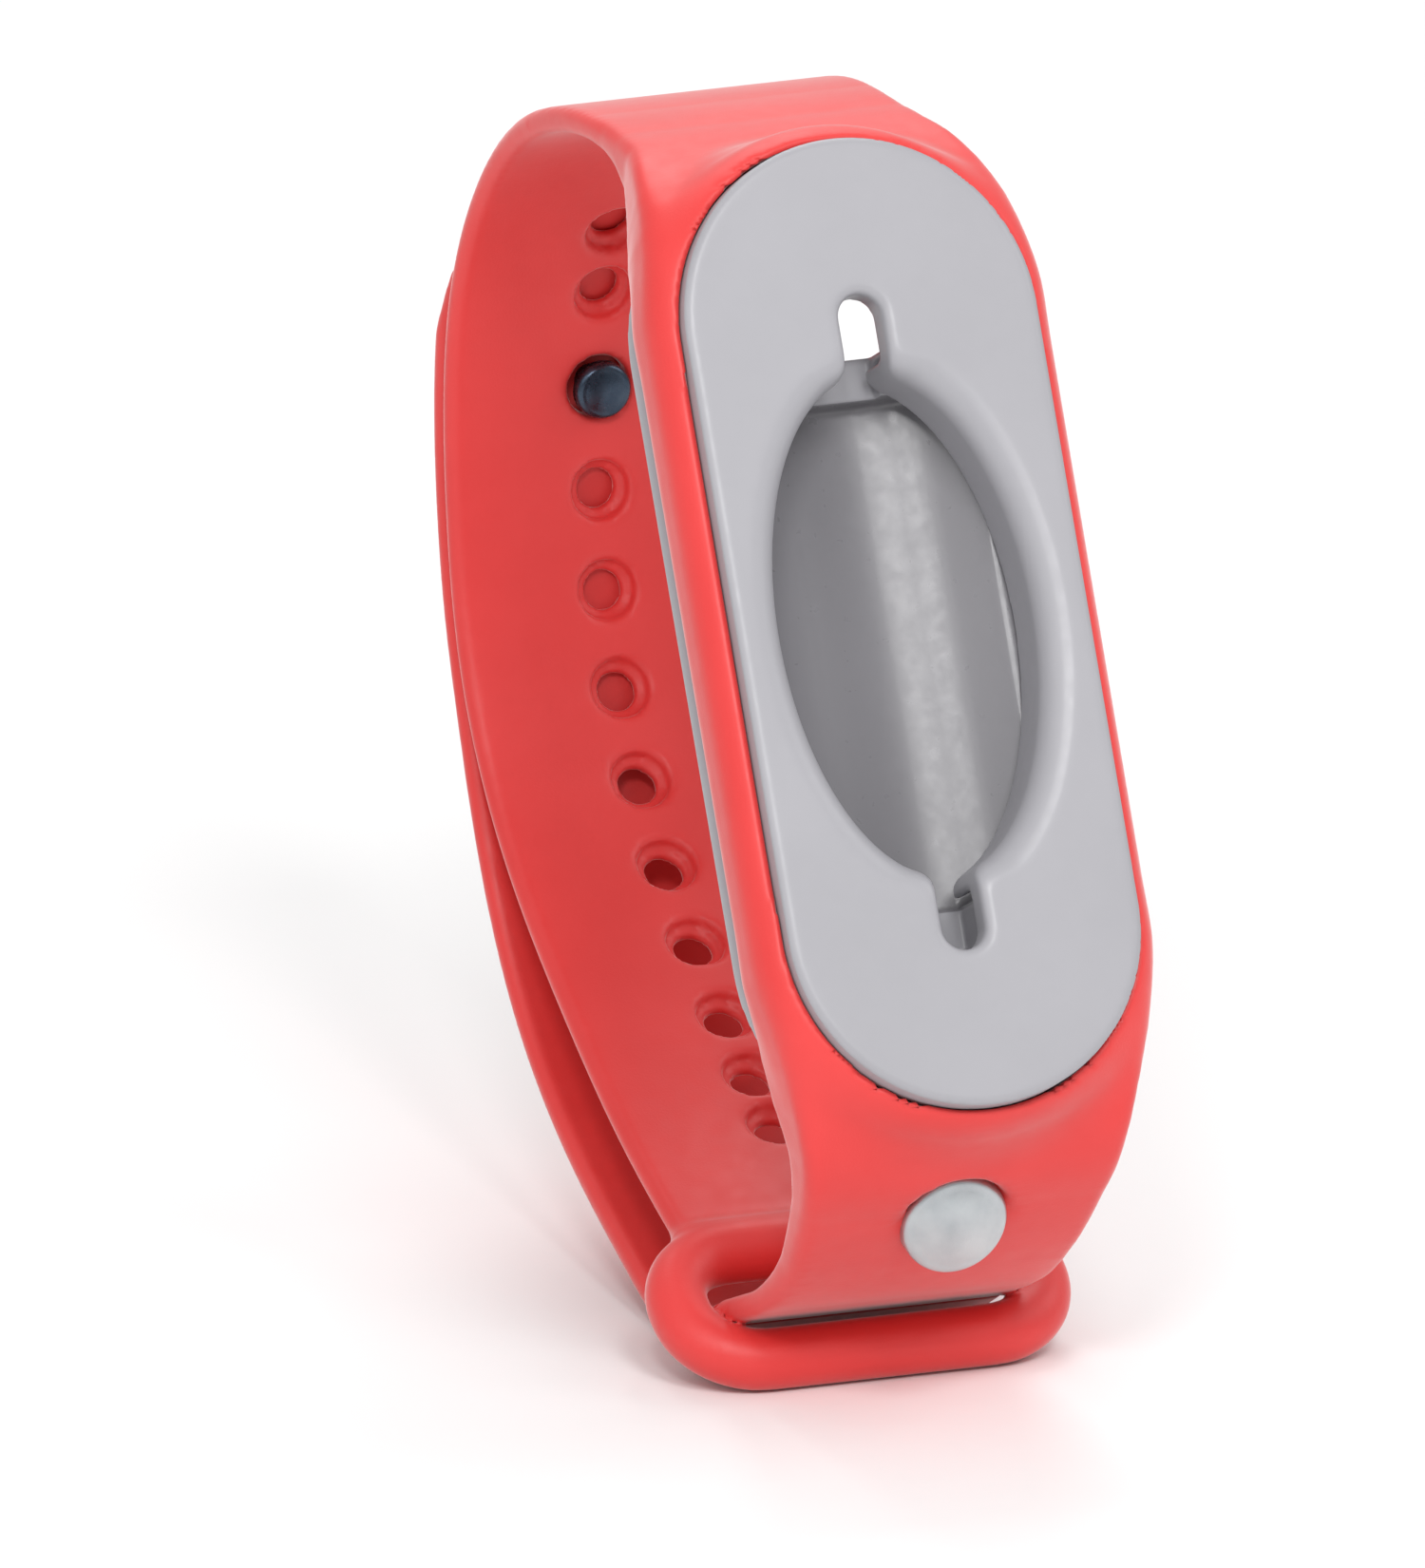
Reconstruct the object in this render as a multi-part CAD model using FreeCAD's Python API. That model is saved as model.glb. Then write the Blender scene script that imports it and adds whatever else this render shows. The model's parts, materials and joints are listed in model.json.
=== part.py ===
import FreeCAD, Part
import math
import os

from FreeCAD import Vector, Placement, Rotation

# Wristband with a hard, hollow pin tray, closed as if it were on a wrist.
#
# Everything is drawn upright first: X across the band, Z up along the tray, and Y backwards from the
# tray's front face, which lies at Y = 0 with its centre at the origin.  The finished pieces are then
# leaned back about X and lifted, so that +Z is up and the band stands on Z = 0.

# ---- driving dimensions, in mm ----
LEAN_DEG = 27.7            # how far the tray leans back from upright

PLATE_WIDTH = 17.9         # front plate of the tray insert
PLATE_LENGTH = 47.5
PLATE_THICK = 1.7
MOUTH_HALF_WIDTH = 6.5     # lens-shaped mouth, at its narrowest
MOUTH_HALF_LENGTH = 12.3
LIP_FLARE = 1.3            # how far the mouth's lip rolls outwards at the front
COLLAR_WALL = 0.9
COLLAR_DEPTH = 4.2         # how far behind the front face the mouth's wall reaches
SLOT_HALF_WIDTH = 1.1      # keyhole slot at each end of the mouth
SLOT_TIP = 16.1

BODY_INSET = 0.1           # the tray's body stands this much inside the plate's outline
FLANGE_FRONT = 6.2         # rear flange, which the frame rests on
FLANGE_REAR = 7.4
FLANGE_OVERHANG = 0.6
TROUGH_RADIUS = 9.4        # concave floor of the tray
TROUGH_DEEPEST = 6.6
TROUGH_TOP = 11.7          # the deep floor ends here, at a sharp step
TROUGH_BOTTOM = -13.3
POCKET_HALF_WIDTH = 8.0    # hollow behind the plate, round the collar
POCKET_HALF_LENGTH = 13.6
LEDGE_DEPTH = 5.0          # shallow floor behind the two slots
WINDOW_HALF_WIDTH = 4.0    # opening right through the tray behind the upper slot
WINDOW_LOW = 13.8
WINDOW_HIGH = 17.4

MAGNET_HALF_WIDTH = 4.5    # magnet strip in the rear cover, under the tray's floor
MAGNET_HALF_LENGTH = 10.0
MAGNET_THICK = 0.9
COVER_HALF_WIDTH = 7.4
COVER_HALF_LENGTH = 12.9
COVER_REAR = 9.2

FRAME_HALF_WIDTH = 10.2    # soft frame round the insert
FRAME_HALF_LENGTH = 24.9
FRAME_FRONT = 0.5
FRAME_REAR = 6.1
FRAME_BEAD = 2.4           # rounding of the frame's outer corners
FRAME_CLEARANCE = 0.15

STRAP_HALF_WIDTH = 7.7
STRAP_THICK = 1.25
LAYER_GAP = 0.06            # between the upper strap and the tail snapped to it
STRAP_EDGE = 0.42          # rounding of the straps' edges, as a share of their thickness
HOLE_RADIUS = 0.95
COUNTERBORE_RADIUS = 1.45
COUNTERBORE_DEPTH = 0.6

LOOP_HALF_WIDTH = 9.1      # keeper loop, measured to the middle of its bar
LOOP_BAR_RADIUS = 1.5
LOOP_CORNER = 3.4

DISC_RADIUS = 2.65         # metal disc on the lower strap
DISC_THICK = 0.9
DISC_SURFACE = 1.25         # the strap's face under the disc, above the strap's middle line
POST_RADIUS = 0.9
STUD_SHAFT_RADIUS = 0.8    # snap stud through the tail
STUD_HEAD_RADIUS = 1.4
STUD_HEAD_THICK = 0.8
STUD_BORE_RADIUS = 1.55    # the hole in use, stretched round the stud's head
CAP_RADIUS = 2.4
CAP_THICK = 0.7
CAP_SEAT = 0.15            # the cap is let into the tail by this much

# ---- middle lines of the straps, as (Y, Z) points from the frame outwards ----
UPPER_LINE = [
    (3.6, 21.6), (9.2, 25.4), (16.5, 28.8), (22.5, 29.5), (29.3, 27.9), (35.4, 23.8),
    (40.6, 14.9), (42.5, 6.5), (41.2, -1.5), (36.7, -10.5), (31.2, -18.6), (26.2, -24.3),
]
LOWER_LINE = [
    (3.6, -21.6), (6.4, -24.6), (9.6, -26.9), (14.0, -28.6), (18.5, -29.0), (23.2, -28.6),
    (28.6, -28.2), (34.0, -23.7), (38.9, -17.7), (43.0, -10.0), (44.4, -0.5), (44.0, 5.5),
]
SNAPPED_FROM = (42.4, 9.2)  # from here up the tail lies flat on the upper strap
TAIL_TIP = (30.7, 27.5)
HOLE_LINE = [
    (32.8, 27.0), (35.2, 23.5), (38.1, 19.45), (40.0, 14.7), (41.65, 10.1), (41.85, 5.35),
    (41.15, 0.7), (39.7, -3.8), (37.5, -8.0), (34.8, -11.95), (32.7, -15.5), (31.2, -18.8),
]
STUD_HOLE = 2              # the tail's stud sits in this hole, counted from the top
TAIL_BEND = (43.6, 8.7)    # the tail peels away from here

# ---- widths and thicknesses along the straps, as (distance, value) pairs ----
UPPER_WIDTHS = [(0.0, 8.9), (3.0, 8.2), (6.0, 7.7), (10.0, 7.5), (20.0, STRAP_HALF_WIDTH)]
UPPER_THICKS = [(0.0, 4.4), (3.5, 3.4), (8.0, 1.8), (12.0, STRAP_THICK)]
LOWER_WIDTHS = [(0.0, 8.9), (3.5, 8.3), (7.5, 7.8), (12.0, 7.4), (17.0, 7.4), (30.0, STRAP_HALF_WIDTH)]
LOWER_THICKS = [(0.0, 4.4), (3.5, 3.6), (7.0, 2.6), (11.0, 2.2), (17.0, STRAP_THICK)]
LOOP_TOP = (25.4, -25.3)   # middles of the loop's upper and lower bars
LOOP_BOTTOM = (21.5, -31.3)
DISC_PLACE = (9.1, -26.9)
DISC_TILT = 38.0           # direction that the disc faces, below straight ahead


def stadium(half_width, half_length, y_front, y_rear):
    """A solid with a stadium outline in X and Z."""
    straight = half_length - half_width
    a = Vector(-half_width, y_front, -straight)
    b = Vector(-half_width, y_front, straight)
    c = Vector(half_width, y_front, straight)
    d = Vector(half_width, y_front, -straight)
    top = Part.Arc(b, Vector(0, y_front, half_length), c)
    bottom = Part.Arc(d, Vector(0, y_front, -half_length), a)
    edges = [
        Part.makeLine(a, b),
        top.toShape(),
        Part.makeLine(c, d),
        bottom.toShape(),
    ]
    face = Part.Face(Part.Wire(edges))
    return face.extrude(Vector(0, y_rear - y_front, 0))


def ellipse_wire(half_width, half_length, y):
    curve = Part.Ellipse(Vector(0, y, half_length), Vector(half_width, y, 0), Vector(0, y, 0))
    return Part.Wire([curve.toShape()])


def ellipse_solid(half_width, half_length, y_front, y_rear):
    face = Part.Face(ellipse_wire(half_width, half_length, y_front))
    return face.extrude(Vector(0, y_rear - y_front, 0))


def box(x_low, y_low, z_low, x_high, y_high, z_high):
    size = (x_high - x_low, y_high - y_low, z_high - z_low)
    return Part.makeBox(*size, Vector(x_low, y_low, z_low))


def smooth_line(points):
    """A curve in the YZ plane through the points."""
    curve = Part.BSplineCurve()
    curve.interpolate([Vector(0, y, z) for y, z in points])
    return curve


def between(table, distance):
    """Reads a value from (distance, value) pairs, changing evenly between them."""
    for (d0, v0), (d1, v1) in zip(table, table[1:]):
        if distance <= d1:
            return v0 + (v1 - v0) * max(0.0, distance - d0) / (d1 - d0)
    return table[-1][1]


def rounded_section(centre, across, half_width, half_thick, radius):
    """A rounded rectangle across a strap: X one way and the vector across the other."""
    side = Vector(1, 0, 0)

    def at(u, v):
        return centre + side * u + across * v

    flat_u = half_width - radius
    flat_v = half_thick - radius
    turn = radius * math.sqrt(0.5)
    edges = []
    corners = [(1, 1), (-1, 1), (-1, -1), (1, -1)]
    for i, (su, sv) in enumerate(corners):
        middle = at(su * (flat_u + turn), sv * (flat_v + turn))
        on_side = at(su * half_width, sv * flat_v)
        on_face = at(su * flat_u, sv * half_thick)
        start, end = (on_side, on_face) if su * sv > 0 else (on_face, on_side)
        edges.append(Part.Arc(start, middle, end).toShape())
        nu, nv = corners[(i + 1) % 4]
        if su * sv > 0:
            edges.append(Part.makeLine(end, at(nu * flat_u, nv * half_thick)))
        else:
            edges.append(Part.makeLine(end, at(nu * half_width, nv * flat_v)))
    return Part.Wire(edges)


def strap(curve, start, end, step, widths, thicks):
    """A strap lofted along part of a curve.  start and end are distances along it."""
    total = curve.length()
    end = min(end, total)
    count = max(4, round((end - start) / step))
    sections = []
    for i in range(count + 1):
        distance = start + (end - start) * i / count
        u = curve.parameterAtDistance(distance, curve.FirstParameter)
        tangent = curve.tangent(u)[0]
        across = Vector(0, -tangent.z, tangent.y)
        half = between(widths, distance)
        thick = between(thicks, distance)
        centre = curve.value(u)
        sections.append(rounded_section(centre, across, half, thick / 2, thick * STRAP_EDGE))
    return Part.makeLoft(sections, True, False)


def nearest(curve, point):
    """The place on the upper strap's line nearest to a (Y, Z) point, and the outward normal there."""
    u = curve.parameter(Vector(0, *point))
    tangent = curve.tangent(u)[0]
    return curve.value(u), Vector(0, -tangent.z, tangent.y)


def along(outward, place, radius, depth_from, depth_to):
    """A round solid along a strap's normal, from one depth to another."""
    base = place + outward * depth_from
    return Part.makeCylinder(radius, depth_to - depth_from, base, outward)


def rounded(shape, radius, edges):
    return shape.makeFillet(radius, edges)


def edges_at(shape, y):
    """The edges of a solid that lie in the plane at this depth."""
    found = []
    for edge in shape.Edges:
        box_y = edge.BoundBox
        if abs(box_y.YMin - y) < 1e-4 and abs(box_y.YMax - y) < 1e-4:
            found.append(edge)
    return found


# ---- the hard tray insert ----

def insert_front_plate():
    plate = stadium(PLATE_WIDTH / 2, PLATE_LENGTH / 2, 0.0, PLATE_THICK)
    plate = rounded(plate, 0.45, edges_at(plate, 0.0))
    wall = (MOUTH_HALF_WIDTH + COLLAR_WALL, MOUTH_HALF_LENGTH + COLLAR_WALL)
    collar = ellipse_solid(*wall, PLATE_THICK, COLLAR_DEPTH)
    body = plate.fuse(collar).removeSplitter()
    body = body.cut(ellipse_solid(MOUTH_HALF_WIDTH, MOUTH_HALF_LENGTH, -1.0, COLLAR_DEPTH + 1.0))
    wires = []
    lip_steps = 4
    for i in range(lip_steps + 1):
        angle = math.pi / 2 * i / lip_steps
        grow = LIP_FLARE * (1.0 - math.sin(angle))
        depth = LIP_FLARE * (1.0 - math.cos(angle))
        wires.append(ellipse_wire(MOUTH_HALF_WIDTH + grow, MOUTH_HALF_LENGTH + grow, depth))
    body = body.cut(Part.makeLoft(wires, True, False))
    body = body.cut(stadium(SLOT_HALF_WIDTH, SLOT_TIP, -1.0, COLLAR_DEPTH + 1.0))
    return body


def insert_trough():
    half_width = PLATE_WIDTH / 2 - BODY_INSET
    half_length = PLATE_LENGTH / 2 - BODY_INSET
    body = stadium(half_width, half_length, PLATE_THICK, FLANGE_FRONT)
    flange = stadium(
        PLATE_WIDTH / 2 + FLANGE_OVERHANG,
        PLATE_LENGTH / 2 + FLANGE_OVERHANG,
        FLANGE_FRONT,
        FLANGE_REAR,
    )
    flange = rounded(flange, 0.4, edges_at(flange, FLANGE_REAR))
    body = body.fuse(flange).removeSplitter()

    pocket = ellipse_solid(POCKET_HALF_WIDTH, POCKET_HALF_LENGTH, PLATE_THICK - 1.0, FLANGE_REAR)
    floor_axis = Vector(0, TROUGH_DEEPEST - TROUGH_RADIUS, TROUGH_BOTTOM)
    length = TROUGH_TOP - TROUGH_BOTTOM
    deep = Part.makeCylinder(TROUGH_RADIUS, length, floor_axis, Vector(0, 0, 1))
    pocket_deep = pocket.common(deep)
    pocket_shallow = ellipse_solid(
        POCKET_HALF_WIDTH, POCKET_HALF_LENGTH, PLATE_THICK - 1.0, COLLAR_DEPTH + 0.1
    )
    slots = stadium(SLOT_HALF_WIDTH + 0.6, SLOT_TIP + 0.6, PLATE_THICK - 1.0, LEDGE_DEPTH)
    window = box(
        -WINDOW_HALF_WIDTH, PLATE_THICK - 1.0, WINDOW_LOW,
        WINDOW_HALF_WIDTH, FLANGE_REAR + 1.0, WINDOW_HIGH,
    )
    upright = [e for e in window.Edges if e.BoundBox.YLength > 1.0]
    window = rounded(window, 1.2, upright)
    hollow = pocket_deep.fuse([pocket_shallow, slots, window]).removeSplitter()
    return body.cut(hollow)


def magnet_strip():
    front = FLANGE_REAR + 0.05
    half = (MAGNET_HALF_WIDTH, MAGNET_HALF_LENGTH)
    return box(-half[0], front, -half[1], half[0], front + MAGNET_THICK, half[1])


def insert_rear_cover():
    cover = stadium(COVER_HALF_WIDTH, COVER_HALF_LENGTH, FLANGE_REAR, COVER_REAR)
    cover = rounded(cover, 1.0, edges_at(cover, COVER_REAR))
    clear = 0.05
    pocket = box(
        -MAGNET_HALF_WIDTH - clear, FLANGE_REAR - 1.0, -MAGNET_HALF_LENGTH - clear,
        MAGNET_HALF_WIDTH + clear, FLANGE_REAR + MAGNET_THICK + 2 * clear, MAGNET_HALF_LENGTH + clear,
    )
    return cover.cut(pocket)


# ---- the soft band ----

def frame_opening():
    return stadium(
        PLATE_WIDTH / 2 + FRAME_CLEARANCE,
        PLATE_LENGTH / 2 + FRAME_CLEARANCE,
        FRAME_FRONT - 2.0,
        FRAME_REAR + 2.0,
    )


def case_frame():
    frame = stadium(FRAME_HALF_WIDTH, FRAME_HALF_LENGTH, FRAME_FRONT, FRAME_REAR)
    corners = edges_at(frame, FRAME_FRONT) + edges_at(frame, FRAME_REAR)
    frame = rounded(frame, FRAME_BEAD, corners)
    return frame.cut(frame_opening())


def insert_way():
    """The space that the insert's flange needs behind the frame, to be pushed out backwards."""
    clear = FLANGE_OVERHANG + 0.2
    return stadium(
        PLATE_WIDTH / 2 + clear, PLATE_LENGTH / 2 + clear, FLANGE_FRONT - 0.1, FLANGE_REAR + 16.0
    )


def upper_strap(frame):
    curve = smooth_line(UPPER_LINE)
    body = strap(curve, 0.0, curve.length(), 3.0, UPPER_WIDTHS, UPPER_THICKS)
    for i, point in enumerate(HOLE_LINE):
        place, outward = nearest(curve, point)
        radius = STUD_BORE_RADIUS if i == STUD_HOLE else HOLE_RADIUS
        body = body.cut(along(outward, place, radius, -3.0, 3.0))
        if i != STUD_HOLE:
            inner = -STRAP_THICK / 2
            body = body.cut(
                along(outward, place, COUNTERBORE_RADIUS, inner - 2.0, inner + COUNTERBORE_DEPTH)
            )
    return body.cut(frame).cut(frame_opening()).cut(insert_way())


def loop_wires():
    """The loop's middle line, a rounded rectangle, and the bar's section on it."""
    top = Vector(0, *LOOP_TOP)
    bottom = Vector(0, *LOOP_BOTTOM)
    down = bottom - top
    height = down.Length
    down.normalize()
    side = Vector(1, 0, 0)

    def at(u, v):
        return top + side * u + down * v

    w = LOOP_HALF_WIDTH
    r = LOOP_CORNER
    turn = r * (1.0 - math.sqrt(0.5))
    edges = [
        Part.makeLine(at(0, 0), at(w - r, 0)),
        Part.Arc(at(w - r, 0), at(w - turn, turn), at(w, r)).toShape(),
        Part.makeLine(at(w, r), at(w, height - r)),
        Part.Arc(at(w, height - r), at(w - turn, height - turn), at(w - r, height)).toShape(),
        Part.makeLine(at(w - r, height), at(r - w, height)),
        Part.Arc(at(r - w, height), at(turn - w, height - turn), at(-w, height - r)).toShape(),
        Part.makeLine(at(-w, height - r), at(-w, r)),
        Part.Arc(at(-w, r), at(turn - w, turn), at(r - w, 0)).toShape(),
        Part.makeLine(at(r - w, 0), at(0, 0)),
    ]
    section = Part.Wire([Part.makeCircle(LOOP_BAR_RADIUS, top, side)])
    return Part.Wire(edges), section


def keeper_loop(strap_solid):
    path, section = loop_wires()
    ring = path.makePipeShell([section], True, False)
    return ring.cut(strap_solid)


def disc_direction():
    tilt = math.radians(DISC_TILT)
    return Vector(0, -math.cos(tilt), -math.sin(tilt))


def lower_curve():
    """The lower strap's middle line, which ends parallel to the upper strap it is snapped to."""
    upper = smooth_line(UPPER_LINE)
    first = upper.length(upper.FirstParameter, upper.parameter(Vector(0, *TAIL_TIP)))
    last = upper.length(upper.FirstParameter, upper.parameter(Vector(0, *SNAPPED_FROM)))
    snapped = []
    count = 5
    for i in range(count + 1):
        distance = last + (first - last) * i / count
        u = upper.parameterAtDistance(distance, upper.FirstParameter)
        tangent = upper.tangent(u)[0]
        outward = Vector(0, -tangent.z, tangent.y)
        point = upper.value(u) + outward * (STRAP_THICK + LAYER_GAP)
        snapped.append((point.y, point.z))
    return smooth_line(LOWER_LINE + snapped)


def bend_distance(curve):
    """Distance along the lower strap's line to the place where the tail bends."""
    u = curve.parameter(Vector(0, *TAIL_BEND))
    return curve.length(curve.FirstParameter, u)


def lower_strap(frame, metal):
    curve = lower_curve()
    end = bend_distance(curve) - 0.1
    body = strap(curve, 0.0, end, 2.6, LOWER_WIDTHS, LOWER_THICKS)
    return body.cut(frame).cut(frame_opening()).cut(insert_way()).cut(metal)


def stud_line():
    """The hole in use: its place on the upper strap's middle line, and its outward normal."""
    curve = smooth_line(UPPER_LINE)
    u = curve.parameter(Vector(0, *HOLE_LINE[STUD_HOLE]))
    tangent = curve.tangent(u)[0]
    return curve.value(u), Vector(0, -tangent.z, tangent.y)


def tail_tip():
    curve = lower_curve()
    end = curve.length()
    start = bend_distance(curve) + 0.1
    widths = [(end - 9.0, STRAP_HALF_WIDTH), (end - 6.0, 7.2), (end - 3.0, 6.0), (end - 1.2, 4.4), (end, 2.2)]
    body = strap(curve, start, end, 1.8, widths, [(0.0, STRAP_THICK), (end, STRAP_THICK)])
    place, outward = stud_line()
    face = tail_outer_face() - CAP_SEAT
    body = body.cut(along(outward, place, STUD_SHAFT_RADIUS, 0.0, 3.0))
    return body.cut(along(outward, place, CAP_RADIUS + 0.05, face, 3.0))


# ---- metal pieces ----

def strap_disc():
    curve = lower_curve()
    place = curve.value(curve.parameter(Vector(0, *DISC_PLACE)))
    facing = disc_direction()
    surface = DISC_SURFACE
    disc = along(facing, place, DISC_RADIUS, surface - 0.5, surface + DISC_THICK)
    front = max(disc.Edges, key=lambda e: e.CenterOfMass.dot(facing))
    disc = rounded(disc, 0.3, [front])
    post = along(facing, place, POST_RADIUS, -0.4, surface)
    return disc.fuse(post).removeSplitter()


def snap_stud():
    """Shaft through the tail and the hole in use, with a domed head on the wrist side."""
    place, outward = stud_line()
    head_base = -STRAP_THICK / 2 - 0.15
    shaft = along(outward, place, STUD_SHAFT_RADIUS, head_base, tail_outer_face() - CAP_SEAT)
    head = along(outward, place, STUD_HEAD_RADIUS, head_base - STUD_HEAD_THICK, head_base)
    rim = min(head.Edges, key=lambda e: e.CenterOfMass.dot(outward))
    head = rounded(head, 0.45, [rim])
    return head.fuse(shaft).removeSplitter()


def tail_outer_face():
    """Height of the tail's outer face above the upper strap's middle line."""
    return STRAP_THICK * 1.5 + LAYER_GAP


def stud_cap():
    place, outward = stud_line()
    base = tail_outer_face() - CAP_SEAT
    cap = along(outward, place, CAP_RADIUS, base, base + CAP_THICK)
    rim = max(cap.Edges, key=lambda e: e.CenterOfMass.dot(outward))
    return rounded(cap, 0.3, [rim])


# ---- putting it together ----

def build():
    frame = case_frame()
    disc = strap_disc()
    stud = snap_stud()
    cap = stud_cap()
    upper = upper_strap(frame)
    return {
        "insert_front_plate": insert_front_plate(),
        "insert_trough": insert_trough(),
        "magnet_strip": magnet_strip(),
        "insert_rear_cover": insert_rear_cover(),
        "case_frame": frame,
        "upper_strap": upper,
        "keeper_loop": keeper_loop(upper),
        "lower_strap": lower_strap(frame, disc),
        "tail_tip": tail_tip(),
        "strap_disc": disc,
        "snap_stud": stud,
        "stud_cap": cap,
    }


def stand(pieces):
    """Leans the pieces back, stands them on Z = 0 and centres them on the origin."""
    lean = Placement(Vector(0, 0, 0), Rotation(Vector(1, 0, 0), -LEAN_DEG))
    leaned = {}
    for name, shape in pieces.items():
        shape.Placement = lean.multiply(shape.Placement)
        leaned[name] = shape
    whole = Part.Compound(list(leaned.values())).optimalBoundingBox()
    shift = Vector(0, -(whole.YMin + whole.YMax) / 2, -whole.ZMin)
    for shape in leaned.values():
        shape.translate(shift)
    return leaned, shift


def main():
    os.makedirs("parts", exist_ok=True)
    pieces, shift = stand(build())
    for name, shape in pieces.items():
        shape.exportStep("parts/" + name + ".step")
        print(name, "volume", round(shape.Volume, 2), "valid", shape.isValid(), "solids", len(shape.Solids))
    print("moved by", round(shift.y, 4), round(shift.z, 4))


main()
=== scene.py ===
import json
import math

import bpy
import numpy as np
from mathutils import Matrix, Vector


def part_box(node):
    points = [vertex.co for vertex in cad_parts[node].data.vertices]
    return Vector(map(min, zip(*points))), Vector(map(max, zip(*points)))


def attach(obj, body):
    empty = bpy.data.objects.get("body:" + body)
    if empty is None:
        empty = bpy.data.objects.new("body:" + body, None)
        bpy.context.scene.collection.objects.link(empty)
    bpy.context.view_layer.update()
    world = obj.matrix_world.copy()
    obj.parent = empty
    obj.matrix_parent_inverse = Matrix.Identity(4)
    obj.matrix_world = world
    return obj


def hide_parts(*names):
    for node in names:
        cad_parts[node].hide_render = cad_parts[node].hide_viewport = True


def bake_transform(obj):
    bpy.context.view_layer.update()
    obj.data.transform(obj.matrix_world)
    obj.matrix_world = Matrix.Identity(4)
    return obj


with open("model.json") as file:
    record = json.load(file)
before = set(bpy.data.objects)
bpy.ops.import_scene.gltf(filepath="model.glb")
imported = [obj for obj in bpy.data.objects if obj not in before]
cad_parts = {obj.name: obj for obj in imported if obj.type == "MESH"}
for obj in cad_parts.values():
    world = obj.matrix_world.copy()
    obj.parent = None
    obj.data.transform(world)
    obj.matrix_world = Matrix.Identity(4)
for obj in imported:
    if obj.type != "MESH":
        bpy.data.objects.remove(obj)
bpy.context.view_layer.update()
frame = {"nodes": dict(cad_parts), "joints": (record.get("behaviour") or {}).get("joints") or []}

# Shapes are worked out in millimetres in the band's upright frame: x across the band, y backwards from
# the tray's front face, z up along the tray.  to_world() leans them back into the row frame, in metres.
MM = 0.001
BACK = np.array(next(j["axis"] for j in frame["joints"] if j["name"] == "insert_push_out"))
UP = np.array([0.0, -BACK[2], BACK[1]])
MAGNET_MIDDLE = 7.9        # the magnet strip's middle lies this far behind the tray's front face
magnet_low, magnet_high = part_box("magnet_strip")
ORIGIN = np.array((magnet_low + magnet_high) / 2) - BACK * MAGNET_MIDDLE * MM

# ---- sizes of the band and its insert, in mm ----
PLATE_HALF_WIDTH = 8.95
PLATE_HALF_LENGTH = 23.75
PLATE_THICK = 1.7
PLATE_ROUND = 0.35
MOUTH_HALF_WIDTH = 6.5
MOUTH_HALF_LENGTH = 12.3
MOUTH_FILLET = 0.7         # rounding where the slots meet the lens
COLLAR_WALL = 0.9          # the collar that runs back from the mouth
COLLAR_DEPTH = 4.2
COLLAR_FILLET = 0.5
SLOT_HALF_WIDTH = 1.1
SLOT_TIP = 16.1
LIP_ROUND = 1.5            # roll of the mouth's lip
SLOT_ROUND = 0.5           # roll of the slots' lips
ROLL_CHANGE = 2.4          # over which one roll turns into the other
POCKET = (8.0, 13.6)       # half width and half length of the hollow behind the plate
TROUGH_RADIUS = 9.4        # its concave floor
TROUGH_DEEPEST = 6.6
TROUGH_ENDS = (-13.3, 11.7)
LEDGE_DEPTH = 5.0
SLOT_SINK = 0.6            # the tray's own slots are this much larger than the plate's
WINDOW = (13.8, 17.4, 4.0)  # low and high end, and half width
WINDOW_ROUND = 1.2
BODY_REAR = 6.5
FLANGE = (6.2, 7.4)        # front and rear of the flange behind the frame
FLANGE_OVER = 0.6
FLANGE_ROUND = 0.35

FRAME_HALF_WIDTH = 10.2
FRAME_HALF_LENGTH = 24.9
FRAME_FRONT = 0.5
FRAME_REAR = 6.1
FRAME_BEAD = 2.4           # roundness of its outer edges
OPENING_CLEAR = 0.08
OPENING_REAR = 9.0
FLANGE_CLEAR = 0.8
WAY_REAR = 24.0            # the flange's way out is kept open this far back

STRAP_HALF_WIDTH = 7.7
STRAP_THICK = 1.25
LAYER_GAP = 0.06
HOLE_RADIUS = 0.95
COUNTERBORE_RADIUS = 1.45
COUNTERBORE_DEPTH = 0.6
STUD_BORE_RADIUS = 1.55

UPPER_LINE = [
    (3.6, 21.6), (9.2, 25.4), (16.5, 28.8), (22.5, 29.5), (29.3, 27.9), (35.4, 23.8),
    (40.6, 14.9), (42.5, 6.5), (41.2, -1.5), (36.7, -10.5), (31.2, -18.6), (26.2, -24.3),
]
LOWER_LINE = [
    (3.6, -21.6), (6.4, -24.6), (9.6, -26.9), (14.0, -28.6), (18.5, -29.0), (23.2, -28.6),
    (28.6, -28.2), (34.0, -23.7), (38.9, -17.7), (43.0, -10.0), (44.4, -0.5), (44.0, 5.5),
]
SNAPPED_FROM = (42.4, 9.2)
TAIL_TIP = (30.7, 27.5)
HOLE_LINE = [
    (32.8, 27.0), (35.2, 23.5), (38.1, 19.45), (40.0, 14.7), (41.65, 10.1), (41.85, 5.35),
    (41.15, 0.7), (39.7, -3.8), (37.5, -8.0), (34.8, -11.95), (32.7, -15.5), (31.2, -18.8),
]
STUD_HOLE = 2
# inside the case the straps run on through these points, in place of their lines' first ones
UPPER_SHOULDER = [(3.7, 11.0), (3.8, 16.0), (5.1, 21.0)]
LOWER_SHOULDER = [(3.7, -11.0), (3.8, -16.0), (4.7, -20.7)]
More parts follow.
